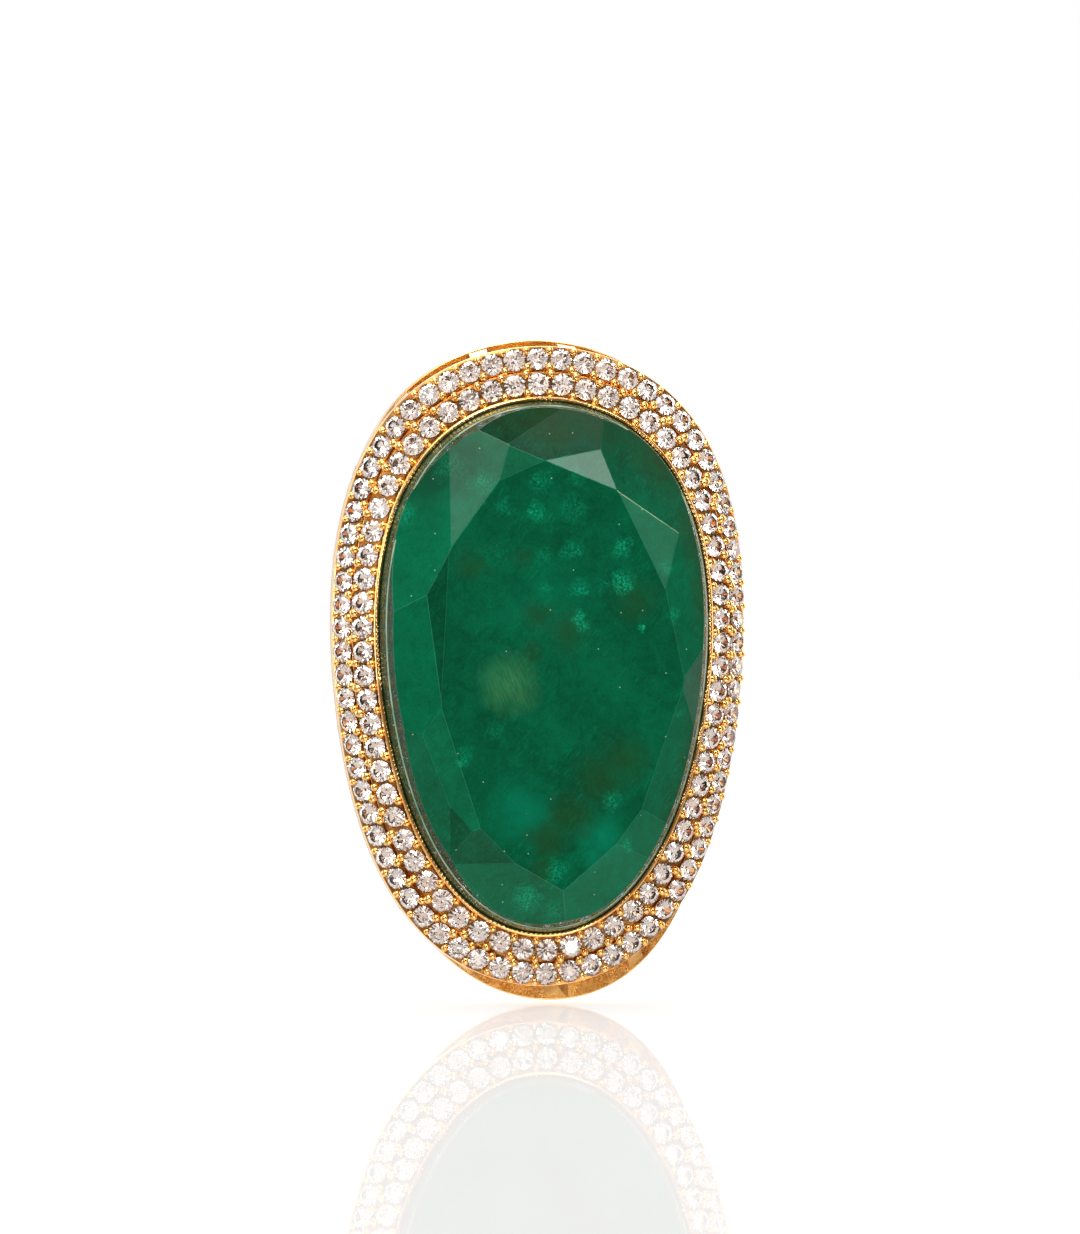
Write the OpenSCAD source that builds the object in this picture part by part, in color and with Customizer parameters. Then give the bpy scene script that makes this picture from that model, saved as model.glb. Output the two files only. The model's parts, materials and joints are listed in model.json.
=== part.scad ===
// Cocktail ring: a large faceted centre stone in a bezel, inside two rows of small
// bead-set stones, on an openwork gallery and a plain shank.
// The origin is the centre of the finger bore. Z runs along the finger, which is also the
// head's long axis, and the head faces -Y. A height is a distance from the bore's axis
// towards the face of the ring, so height h lies at Y = -h.

/* [Finger] */
// Inside diameter of the band, a US size 7
finger_diameter = 17.3; // [16.5:0.1:18.2]
// Thickness of the band
band_thickness = 1.5; // [1.2:0.1:1.7]
// Width of the band along the finger
band_width = 4.6; // [3.5:0.1:6]
// How far the band's rounded outside rises above its edges
band_crown = 1; // [0.6:0.1:1.1]

/* [Centre stone] */
// Length of the stone where it leaves its bezel
stone_length = 30; // [29:0.5:31]
// Half of the stone's width at mid length
stone_half_width = 9.3; // [9:0.1:9.6]
// How much fuller the upper end is than the lower end
stone_taper = 1.15; // [0.8:0.05:1.3]
// How square both ends are
stone_fullness = 1.1; // [0.8:0.05:1.3]
// Height of the table
table_height = 18.2; // [17.8:0.1:18.6]
// Height of the sharp edge between the side wall and the crown
crown_edge_height = 16; // [15.7:0.1:16.4]
// Height of the widest level of the stone
girdle_height = 13.8; // [13.5:0.1:14]
// Height of the bottom of the stone
culet_height = 10.9; // [10.7:0.1:11.5]

/* [Bezel] */
// Height of the top of the bezel's lip
lip_height = 14.9; // [14.7:0.1:15.1]
// Thickness of the bezel's wall
bezel_wall = 0.3; // [0.25:0.05:0.4]
// Height of the ledge that the stone rests on
seat_height = 13; // [12.6:0.1:13.3]
// Width of that ledge
seat_width = 0.9; // [0.7:0.1:1.1]

/* [Halo] */
// Length of the halo over its outer row
halo_length = 36.2; // [35.8:0.1:36.6]
// Half of the halo's width at mid length
halo_half_width = 11.7; // [11.4:0.1:12]
// Height of the halo's surface beside the lip
halo_height = 14.4; // [14.2:0.1:14.6]
// Step down from the inner row to the outer row
row_step = 0.15; // [0.1:0.05:0.25]
// Thickness of the halo's strips
strip_thickness = 1.1; // [1:0.1:1.3]
// Slope of the inner row at the two ends, in degrees
inner_end_slope = 4; // [2:1:8]
// Slope of the inner row at the two sides
inner_side_slope = 29; // [24:1:32]
// Slope of the outer row at the two ends
outer_end_slope = 10; // [6:1:14]
// Slope of the outer row at the two sides
outer_side_slope = 46; // [40:1:50]

/* [Halo stones] */
// Number of stones in the inner row
inner_stone_count = 62; // [60:1:63]
// Number of stones in the outer row
outer_stone_count = 70; // [66:1:71]
// Diameter of each halo stone
halo_stone_diameter = 1.26; // [1.15:0.01:1.28]
// Diameter of the beads that hold the halo stones
bead_diameter = 0.46; // [0.4:0.02:0.5]

/* [Gallery] */
// Length of the base rail over its outside
rail_length = 37.5; // [37:0.1:37.8]
// Half of the base rail's width at mid length
rail_half_width = 11; // [10.8:0.1:11.3]
// Height of the middle of the base rail at the two ends
rail_height = 10.5; // [10.3:0.1:10.8]
// How far the base rail drops at the two sides
rail_side_drop = 1.3; // [1:0.1:1.5]
// How far the base rail's lower end is bent to the right
rail_bend = 0.9; // [0.5:0.1:1]
// Width of the base rail
rail_width = 1.2; // [1:0.1:1.4]
// Thickness of the base rail
rail_thickness = 1.1; // [1:0.1:1.2]
// Number of uprights between the two rails
post_count = 19; // [16:1:22]
// Width of each upright
post_width = 1; // [0.8:0.1:1.3]
// Distance of each bridge under the stone from mid length
bridge_distance = 7.5; // [7:0.5:8]

/* [Hidden] */

sides = 96;
bore_radius = finger_diameter / 2;
band_radius = bore_radius + band_thickness;

// An outline is [half length, half width, taper, fullness, centre along Z, how far its lower
// end is bent towards +X].
stone_outline = [stone_length / 2, stone_half_width, stone_taper, stone_fullness, 0, 0];
halo_taper = 1.1;
halo_fullness = 2.2;
halo_shift = 0.05;
rail_taper = 1.3;
rail_fullness = 2.4;
rail_shift = -0.2;
halo_outline = [halo_length / 2, halo_half_width, halo_taper, halo_fullness, halo_shift, 0];
rail_outline = [rail_length / 2, rail_half_width, rail_taper, rail_fullness, rail_shift,
    rail_bend];

// A spot on an outline in the plane of the face, as [x, z], at angle t from +X.
function spot(outline, t) =
    let (u = sin(t), width = outline[1] + outline[2] * u + outline[3] * u * u)
    [cos(t) * width + outline[5] * pow((1 - u) / 2, 3), outline[4] + outline[0] * u];
function outward(outline, t) =
    let (along = spot(outline, t + 1) - spot(outline, t - 1))
    [along[1], -along[0]] / norm(along);
function offset_spot(outline, t, distance) = spot(outline, t) + distance * outward(outline, t);

// The point at a height above a spot in the plane of the face.
function raised(spot, height) = [spot[0], -height, spot[1]];

// 1 at the two sides of the head, 0 at its two ends.
function sideways(t) = cos(t) * cos(t);

// The halo's two rows, 0 inner and 1 outer. Each slopes down from its inner edge.
function slope(row, t) =
    row == 0 ? inner_end_slope + (inner_side_slope - inner_end_slope) * sideways(t)
    : outer_end_slope + (outer_side_slope - outer_end_slope) * sideways(t);
function lip_spot(t) = offset_spot(stone_outline, t, bezel_wall);
function between_rows(t) =
    let (share = cos(slope(0, t)) / (cos(slope(0, t)) + cos(slope(1, t))))
    lip_spot(t) + share * (spot(halo_outline, t) - lip_spot(t));
function inner_row_fall(t) = tan(slope(0, t)) * norm(between_rows(t) - lip_spot(t));
function outer_row_fall(t) = tan(slope(1, t)) * norm(spot(halo_outline, t) - between_rows(t));

// A point on the surface of a row: across goes from 0 at its inner edge to 1 at its outer edge.
function row_point(row, t, across) =
    row == 0 ? raised(lip_spot(t) + across * (between_rows(t) - lip_spot(t)),
        halo_height - across * inner_row_fall(t))
    : raised(between_rows(t) + across * (spot(halo_outline, t) - between_rows(t)),
        halo_height - inner_row_fall(t) - row_step - across * outer_row_fall(t));
function row_normal(row, t) =
    let (across = row_point(row, t, 1) - row_point(row, t, 0),
        along = row_point(row, t + 1, 0.5) - row_point(row, t - 1, 0.5),
        normal = cross(across, along))
    normal / norm(normal);

// Distance along the middle of a row against the angle t, so that stones are evenly spaced.
function row_lengths(row) = [
    for (t = 0, s = 0; t <= 360;
        s = s + norm(row_point(row, t + 1, 0.5) - row_point(row, t, 0.5)), t = t + 1) [s, t]];
inner_lengths = row_lengths(0);
outer_lengths = row_lengths(1);
function stone_count(row) = row == 0 ? inner_stone_count : outer_stone_count;
function row_angle(row, number) =
    let (lengths = row == 0 ? inner_lengths : outer_lengths)
    lookup(lengths[360][0] * number / stone_count(row), lengths);

// The gallery: a top rail under the outer row, a base rail, and uprights between them.
top_rail_height = 0.7;
top_rail_inner = 0.5;
top_rail_outer = 0.95;
function strip_underside(t, across) = row_point(1, t, across) + [0, strip_thickness, 0];
function top_rail_underside(t, across) =
    strip_underside(t, across) + [0, top_rail_height, 0];
function rail_middle_height(t) = rail_height - rail_side_drop * sideways(t);
rail_chamfer = 0.25;
solder = 0.05;

// Distance along the base rail against the angle t, so that uprights are evenly spaced.
rail_lengths = [
    for (t = 0, s = 0; t <= 360;
        s = s + norm(spot(rail_outline, t + 1) - spot(rail_outline, t)), t = t + 1) [s, t]];
function post_angle(number) =
    lookup(rail_lengths[360][0] * (number - 0.5) / post_count, rail_lengths);

// The bridges lie over the finger and carry the bezel's foot.
bridge_bottom = 9.3;
bridge_top = 10.1;
bridge_width = 1.3;
upper_bridge_half_length = 9.9;
lower_bridge_half_length = 9.5;

// Each shoulder is a fan of sections, from the band up to the base rail, as
// [distance from the axis, height, half its width along Z, half its thickness].
shoulder_sections = [[9.3, -1.2, 1.1, 0.3], [9.55, 0.8, 1.6, 0.45], [9.7, 2.5, 1.9, 0.55],
    [9.85, 4.5, 2.4, 0.6], [10.05, 6.2, 3.1, 0.6], [10.2, 7.7, 4.0, 0.55],
    [10.25, 8.8, 5.0, 0.5]];

// The bezel's foot stands on the bridges. Its lip has a bevel, and its ledge tapers below.
collar_gap = 0.02;
lip_bevel_width = 0.06;
lip_bevel_depth = 0.15;
ledge_depth = 1.4;
ledge_bevel = 0.3;

// Proportions of a halo stone to its diameter.
stone_radius = halo_stone_diameter / 2;
stone_crown = 0.16 * halo_stone_diameter;
stone_girdle = 0.05 * halo_stone_diameter;
stone_pavilion = 0.43 * halo_stone_diameter;
stone_table_radius = 0.56 * stone_radius;
seat_gap = 0.01;
seat_hole_radius = 0.55 * stone_radius;
drill_reach = 2;
drill_rise = 1;
bead_radius = bead_diameter / 2;
bead_edge = 0.12;

// The levels of the centre stone, as [height, scale, inset of its outline].
stone_levels = [[culet_height, 0.35, 0], [12.2, 0.78, 0], [girdle_height, 1, 0],
    [lip_height, 1, 0], [crown_edge_height, 1, 0.28], [table_height, 1, 0.9]];

// Each facet of the crown is [direction, slope, distance of its line from the axis at table
// height]; the first list holds those that meet the table, the second the lower ones.
// Each one is cut with a block of the size given below.
facet_block = 40;
table_facets = [
    [68, 20, 10.6], [26, 22, 7.7], [12, 30, 7.2], [-6, 40, 7.5], [-19, 30, 7.4],
    [-36, 30, 8.8], [-49, 32, 9.9], [-120, 34, 10.6], [-135, 26, 9.3], [-162, 24, 6.7],
    [177, 14, 6.2], [144, 24, 8.6], [114, 11, 10.8]];
lower_facets = [
    [81, 30, 11.4], [95, 40, 12.3], [41, 37, 9.3], [-177, 30, 6.4], [-161, 34, 7.2],
    [160, 38, 7.7], [-157, 29, 7.4], [-123, 40, 10.9]];

// A closed ring through section lists, one per angle, each listed the same way round.
module swept_ring(sections) {
    rings = len(sections);
    corners = len(sections[0]);
    polyhedron(
        points = [for (section = sections) each section],
        faces = [for (i = [0:rings - 1], j = [0:corners - 1])
            [i * corners + j, ((i + 1) % rings) * corners + j,
            ((i + 1) % rings) * corners + (j + 1) % corners, i * corners + (j + 1) % corners]]);
}

// A solid between two outlines of the same number of points, with flat ends.
module lofted(levels) {
    corners = len(levels[0]);
    last = (len(levels) - 1) * corners;
    polyhedron(
        points = [for (level = levels) each level],
        faces = concat(
            [[for (j = [0:corners - 1]) j]],
            [[for (j = [corners - 1:-1:0]) last + j]],
            [for (i = [0:len(levels) - 2], j = [0:corners - 1])
                [i * corners + j, (i + 1) * corners + j,
                (i + 1) * corners + (j + 1) % corners, i * corners + (j + 1) % corners]]));
}

module on_row(row, t, across) {
    normal = row_normal(row, t);
    translate(row_point(row, t, across))
        rotate([0, acos(normal[2]), atan2(normal[1], normal[0])])
            children();
}

module halo_stone() {
    rotate_extrude($fn = 24)
        polygon([[0, -stone_pavilion], [stone_radius, 0], [stone_radius, stone_girdle],
            [stone_table_radius, stone_girdle + stone_crown], [0, stone_girdle + stone_crown]]);
}

module halo_seat() {
    rotate_extrude($fn = 24)
        polygon([[0, -drill_reach], [seat_hole_radius, -drill_reach],
            [seat_hole_radius, -stone_pavilion * (1 - seat_hole_radius / stone_radius) - seat_gap],
            [stone_radius + seat_gap, -seat_gap], [stone_radius + seat_gap, drill_rise],
            [0, drill_rise]]);
}

module halo_strip(row) {
    difference() {
        swept_ring([for (i = [0:sides - 1])
            let (t = i * 360 / sides, down = [0, strip_thickness, 0])
            [row_point(row, t, 0), row_point(row, t, 1),
            row_point(row, t, 1) + down, row_point(row, t, 0) + down]]);
        for (number = [0:stone_count(row) - 1])
            on_row(row, row_angle(row, number), 0.5) halo_seat();
    }
}

module row_stones(row) {
    for (number = [0:stone_count(row) - 1])
        on_row(row, row_angle(row, number), 0.5) halo_stone();
}

module row_beads(row) {
    for (number = [0:stone_count(row) - 1], across = [bead_edge, 1 - bead_edge])
        on_row(row, row_angle(row, number + 0.5), across) sphere(bead_radius, $fn = 16);
}

module center_stone() {
    color("darkgreen") difference() {
        lofted([for (level = stone_levels)
            [for (i = [0:sides - 1])
                raised(level[1] * offset_spot(stone_outline, i * 360 / sides, -level[2]),
                    level[0])]]);
        for (facet = concat(table_facets, lower_facets))
            translate(raised(facet[2] * [cos(facet[0]), sin(facet[0])], table_height))
                rotate([0, -facet[0], 0]) rotate([0, 0, facet[1]])
                    translate([-facet_block / 2, -facet_block, -facet_block / 2])
                        cube(facet_block);
    }
}

module bezel_collar() {
    color("goldenrod") swept_ring([for (i = [0:sides - 1])
        let (t = i * 360 / sides)
        [raised(offset_spot(stone_outline, t, collar_gap), bridge_top),
        raised(offset_spot(stone_outline, t, collar_gap), lip_height),
        raised(offset_spot(stone_outline, t, bezel_wall - lip_bevel_width), lip_height),
        raised(lip_spot(t), lip_height - lip_bevel_depth), raised(lip_spot(t), bridge_top)]]);
}

module bezel_seat() {
    color("goldenrod") swept_ring([for (i = [0:sides - 1])
        let (t = i * 360 / sides)
        [raised(offset_spot(stone_outline, t, -seat_width), seat_height - ledge_depth),
        raised(offset_spot(stone_outline, t, -seat_width - ledge_bevel),
            seat_height - ledge_depth / 2),
        raised(spot(stone_outline, t), seat_height),
        raised(spot(stone_outline, t), seat_height - ledge_depth)]]);
}

module inner_halo_strip() { color("gold") halo_strip(0); }
module outer_halo_strip() { color("gold") halo_strip(1); }
module inner_halo_stones() { color("white") row_stones(0); }
module outer_halo_stones() { color("white") row_stones(1); }
module inner_row_beads() { color("khaki") row_beads(0); }
module outer_row_beads() { color("khaki") row_beads(1); }

module gallery_top_rail() {
    color("goldenrod") swept_ring([for (i = [0:sides - 1])
        let (t = i * 360 / sides)
        [strip_underside(t, top_rail_inner), strip_underside(t, top_rail_outer),
        top_rail_underside(t, top_rail_outer), top_rail_underside(t, top_rail_inner)]]);
}

module gallery_post(number) {
    t = post_angle(number);
    out = outward(rail_outline, t);
    edge = spot(rail_outline, t);
    foot = rail_middle_height(t) + rail_thickness / 2 - solder;
    head = [for (across = [top_rail_outer, top_rail_inner]) top_rail_underside(t, across)];
    color("goldenrod")
        translate(raised(edge, 0)) rotate([0, -atan2(out[1], out[0]), 0]) rotate([180, 0, 0])
            linear_extrude(post_width, center = true)
                polygon([[rail_chamfer - rail_width, foot], [-rail_chamfer, foot],
                    for (point = head)
                        [([point[0], point[2]] - edge) * out, solder - point[1]]]);
}

module gallery_base_rail() {
    color("goldenrod") swept_ring([for (i = [0:sides - 1])
        let (t = i * 360 / sides, middle = rail_middle_height(t),
            low = middle - rail_thickness / 2, high = middle + rail_thickness / 2)
        [for (corner = [[-rail_width, low + rail_chamfer], [-rail_width, high - rail_chamfer],
            [rail_chamfer - rail_width, high], [-rail_chamfer, high], [0, high - rail_chamfer],
            [0, low + rail_chamfer], [-rail_chamfer, low], [rail_chamfer - rail_width, low]])
            raised(offset_spot(rail_outline, t, corner[0]), corner[1])]]);
}

module bridge(middle, half_length) {
    color("goldenrod")
        translate([-half_length, -bridge_top, middle - bridge_width / 2])
            cube([2 * half_length, bridge_top - bridge_bottom, bridge_width]);
}

module shank() {
    arc = (band_width * band_width / 4 + band_crown * band_crown) / (2 * band_crown);
    color("gold") difference() {
        rotate_extrude($fn = 180)
            intersection() {
                translate([band_radius / 2, -band_width / 2])
                    square([band_radius / 2, band_width]);
                translate([band_radius - arc, 0]) circle(arc, $fn = 90);
            }
        cylinder(2 * band_width, r = bore_radius, center = true, $fn = 180);
    }
}

module shoulder(side) {
    color("gold") lofted([for (section = shoulder_sections)
        [for (corner = [[-1, -1], [-1, 1], [1, 1], [1, -1]])
            [side * (section[0] + corner[0] * section[3]), -section[1],
            side * corner[1] * section[2]]]]);
}

center_stone();
bezel_collar();
bezel_seat();
inner_halo_strip();
outer_halo_strip();
inner_halo_stones();
outer_halo_stones();
inner_row_beads();
outer_row_beads();
gallery_top_rail();
gallery_base_rail();
bridge(bridge_distance, upper_bridge_half_length);  // upper_bridge
bridge(-bridge_distance, lower_bridge_half_length);  // lower_bridge
shank();
shoulder(-1);  // left_shoulder
shoulder(1);  // right_shoulder
for (number = [1:post_count])
    gallery_post(number);
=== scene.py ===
"""The looks of the cocktail ring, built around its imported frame.

Everything stands in the part's own frame: the origin is the centre of the finger bore, Z runs
along the finger and the head faces -Y. A height is a distance from the bore's axis towards the
face, so height h lies at Y = -h. Sizes are in millimetres until raised() makes them metres.
"""

import bisect
import json
import math
import random
from collections import namedtuple

import bmesh
import bpy
from mathutils import Matrix, Vector, geometry, noise


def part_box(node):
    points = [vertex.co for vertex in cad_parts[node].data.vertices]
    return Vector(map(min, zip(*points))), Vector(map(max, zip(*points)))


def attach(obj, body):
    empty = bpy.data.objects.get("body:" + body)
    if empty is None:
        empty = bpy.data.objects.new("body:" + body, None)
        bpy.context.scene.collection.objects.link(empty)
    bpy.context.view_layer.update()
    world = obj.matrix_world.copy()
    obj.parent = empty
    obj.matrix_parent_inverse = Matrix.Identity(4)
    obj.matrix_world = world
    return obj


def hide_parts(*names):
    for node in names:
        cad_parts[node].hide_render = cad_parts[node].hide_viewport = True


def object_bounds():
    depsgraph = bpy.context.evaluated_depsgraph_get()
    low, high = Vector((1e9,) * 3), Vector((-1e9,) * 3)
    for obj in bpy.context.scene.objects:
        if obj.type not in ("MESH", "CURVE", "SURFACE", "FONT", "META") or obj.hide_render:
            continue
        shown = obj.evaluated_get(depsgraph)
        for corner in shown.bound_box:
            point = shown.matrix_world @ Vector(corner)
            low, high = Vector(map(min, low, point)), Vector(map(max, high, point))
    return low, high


MM = 0.001
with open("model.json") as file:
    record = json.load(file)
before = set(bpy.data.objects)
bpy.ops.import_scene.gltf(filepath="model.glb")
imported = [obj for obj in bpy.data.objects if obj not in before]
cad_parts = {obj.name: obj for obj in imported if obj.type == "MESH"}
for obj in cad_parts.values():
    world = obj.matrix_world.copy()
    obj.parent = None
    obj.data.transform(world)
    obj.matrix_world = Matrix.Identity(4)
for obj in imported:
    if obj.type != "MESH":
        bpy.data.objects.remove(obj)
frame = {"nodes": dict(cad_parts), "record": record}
cad_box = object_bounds()


# ---------------------------------------------------------------- sizes


def reach(node):
    """A node's lowest and highest corners, in millimetres."""
    low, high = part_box(node)
    return low / MM, high / MM


# bend is how far an outline's lower end leans towards +X.
Outline = namedtuple("Outline", "half_length half_width taper fullness centre bend")

stone_low, stone_high = reach("center_stone")
halo_low, halo_high = reach("outer_halo_strip")
rail_low, rail_high = reach("gallery_base_rail")
collar_low, collar_high = reach("bezel_collar")
band_low, band_high = reach("shank")

STONE = Outline((stone_high.z - stone_low.z) / 2, 9.3, 1.15, 1.1, 0.0, 0.0)
HALO = Outline((halo_high.z - halo_low.z) / 2, 11.7, 1.1, 2.2, (halo_high.z + halo_low.z) / 2,
               0.0)
RAIL_BEND = 0.9
RAIL = Outline((rail_high.z - rail_low.z) / 2, 11.0, 1.3, 2.4, (rail_high.z + rail_low.z) / 2,
               RAIL_BEND)

TABLE_HEIGHT = -stone_low.y
CULET_HEIGHT = -stone_high.y
CROWN_EDGE_HEIGHT = 16.0
CROWN_EDGE_BEVEL = 0.08
GIRDLE_HEIGHT = 13.8
PAVILION_HEIGHT = 12.2
LIP_HEIGHT = -collar_low.y
FOOT_HEIGHT = -collar_high.y
BEZEL_WALL = 0.3

HALO_HEIGHT = 14.4
ROW_STEP = 0.15
STRIP_THICKNESS = 1.1
END_SLOPES = (4, 10)
SIDE_SLOPES = (29, 46)
STONE_COUNTS = (62, 70)
HALO_STONE_DIAMETER = 1.29
BEAD_RADIUS = 0.26
BEAD_EDGE = 0.12
BEAD_LIFT = 0.04
SEAT_GAP = 0.01

TOP_RAIL_HEIGHT = 0.7
TOP_RAIL_SPAN = (0.5, 0.95)
RAIL_HEIGHT = 10.5
RAIL_SIDE_DROP = 1.3
RAIL_WIDTH = 1.2
RAIL_THICKNESS = 1.1
SOLDER = 0.05
POST_COUNT = 19
POST_WIDTH = 1.0
BORE_RADIUS = frame["record"]["mounts"][0]["dims"]["r_mm"]
BAND_RADIUS = band_high.x
BAND_WIDTH = band_high.z - band_low.z
BAND_CROWN = 1.0

# ---------------------------------------------------------------- outlines and rows


def cosd(degrees):
    return math.cos(math.radians(degrees))


def sind(degrees):
    return math.sin(math.radians(degrees))


def tand(degrees):
    return math.tan(math.radians(degrees))


def spot(outline, t):
    """A spot on an outline in the plane of the face, at angle t from +X."""
    u = sind(t)
    width = outline.half_width + outline.taper * u + outline.fullness * u * u
    bent = outline.bend * ((1 - u) / 2) ** 3
    return Vector((cosd(t) * width + bent, outline.centre + outline.half_length * u))


def outward(outline, t):
    along = spot(outline, t + 1) - spot(outline, t - 1)
    return Vector((along.y, -along.x)).normalized()


def offset_spot(outline, t, distance):
    return spot(outline, t) + distance * outward(outline, t)


def raised(place, height):
    """The point, in metres, at a height above a spot in the plane of the face."""
    return Vector((place.x, -height, place.y)) * MM


def sideways(t):
    """1 at the two sides of the head, 0 at its two ends."""
    return cosd(t) ** 2


def slope(row, t):
    return END_SLOPES[row] + (SIDE_SLOPES[row] - END_SLOPES[row]) * sideways(t)


def lip_spot(t):
    return offset_spot(STONE, t, BEZEL_WALL)


def between_rows(t):
    inner, outer = cosd(slope(0, t)), cosd(slope(1, t))
    return lip_spot(t).lerp(spot(HALO, t), inner / (inner + outer))


def row_point(row, t, across, down=0.0):
    """A point on a row: across goes from 0 at its inner edge to 1 at its outer edge."""
    middle = between_rows(t)
    fall = tand(slope(0, t)) * (middle - lip_spot(t)).length
    if row == 0:
        return raised(lip_spot(t).lerp(middle, across), HALO_HEIGHT - across * fall - down)
    outer_fall = tand(slope(1, t)) * (spot(HALO, t) - middle).length
    height = HALO_HEIGHT - fall - ROW_STEP - across * outer_fall
    return raised(middle.lerp(spot(HALO, t), across), height - down)


def row_axes(row, t):
    """The directions along a row, across it and out of its surface."""
    across = (row_point(row, t, 1) - row_point(row, t, 0)).normalized()
    along = (row_point(row, t + 1, 0.5) - row_point(row, t - 1, 0.5)).normalized()
    out = across.cross(along).normalized()
    return out.cross(across), across, out


def even_angles(path, count, phase=0.0, steps=720):
    """Angles at which count points lie evenly spaced along a closed path."""
    lengths = [0.0]
    last = path(0.0)
    for i in range(1, steps + 1):
        here = path(360 * i / steps)
        lengths.append(lengths[-1] + (here - last).length)
        last = here
    angles = []
    for number in range(count):
        wanted = (number + phase) / count * lengths[-1]
        i = min(bisect.bisect_right(lengths, wanted), steps)
        share = (wanted - lengths[i - 1]) / (lengths[i] - lengths[i - 1])
        angles.append(360 * (i - 1 + share) / steps)
    return angles


def row_angles(row, phase=0.0):
    return even_angles(lambda t: row_point(row, t, 0.5), STONE_COUNTS[row], phase)


# ---------------------------------------------------------------- mesh tools


def rounded(corners, radius, steps=3):
    """A closed 2-D polygon with its corners rounded; radius is one number or one per corner."""
    radii = radius if isinstance(radius, (list, tuple)) else [radius] * len(corners)
    points = []
    for i, corner in enumerate(corners):
        here = Vector(corner)
        before = Vector(corners[i - 1])
        after = Vector(corners[(i + 1) % len(corners)])
        start = here + (before - here).normalized() * radii[i]
        end = here + (after - here).normalized() * radii[i]
        for k in range(steps + 1):
            s = k / steps
            points.append(start * (1 - s) ** 2 + here * 2 * s * (1 - s) + end * s * s)
    return points


def swept_ring(sections):
    """A closed ring through sections, each a list of points the same way round."""
    bm = bmesh.new()
    rings = [[bm.verts.new(point) for point in section] for section in sections]
    corners = len(sections[0])
    for i, ring in enumerate(rings):
        after = rings[(i + 1) % len(rings)]
        for j in range(corners):
            k = (j + 1) % corners
            bm.faces.new((ring[j], after[j], after[k], ring[k]))
    return bm


def lofted(levels):
    """A solid through levels, each a list of points the same way round, with flat ends."""
    bm = bmesh.new()
    rings = [[bm.verts.new(point) for point in level] for level in levels]
    corners = len(levels[0])
    for ring, after in zip(rings, rings[1:]):
        for j in range(corners):
            k = (j + 1) % corners
            bm.faces.new((ring[j], after[j], after[k], ring[k]))
    bm.faces.new(rings[0])
    bm.faces.new(reversed(rings[-1]))
    return bm


def add_piece(name, bm, material, nodes=(), smooth=None):
    """Makes a bmesh a piece of the object, in place of CAD nodes."""
    bmesh.ops.recalc_face_normals(bm, faces=bm.faces)
    mesh = bpy.data.meshes.new(name)
    bm.to_mesh(mesh)
    bm.free()
    mesh.materials.append(material)
    if smooth is not None:
        mesh.shade_smooth()
        mesh.set_sharp_from_angle(angle=math.radians(smooth))
    piece = bpy.data.objects.new(name, mesh)
    bpy.context.scene.collection.objects.link(piece)
    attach(piece, "root")
    if nodes:
        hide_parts(*nodes)
    return piece


# ---------------------------------------------------------------- materials


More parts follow.
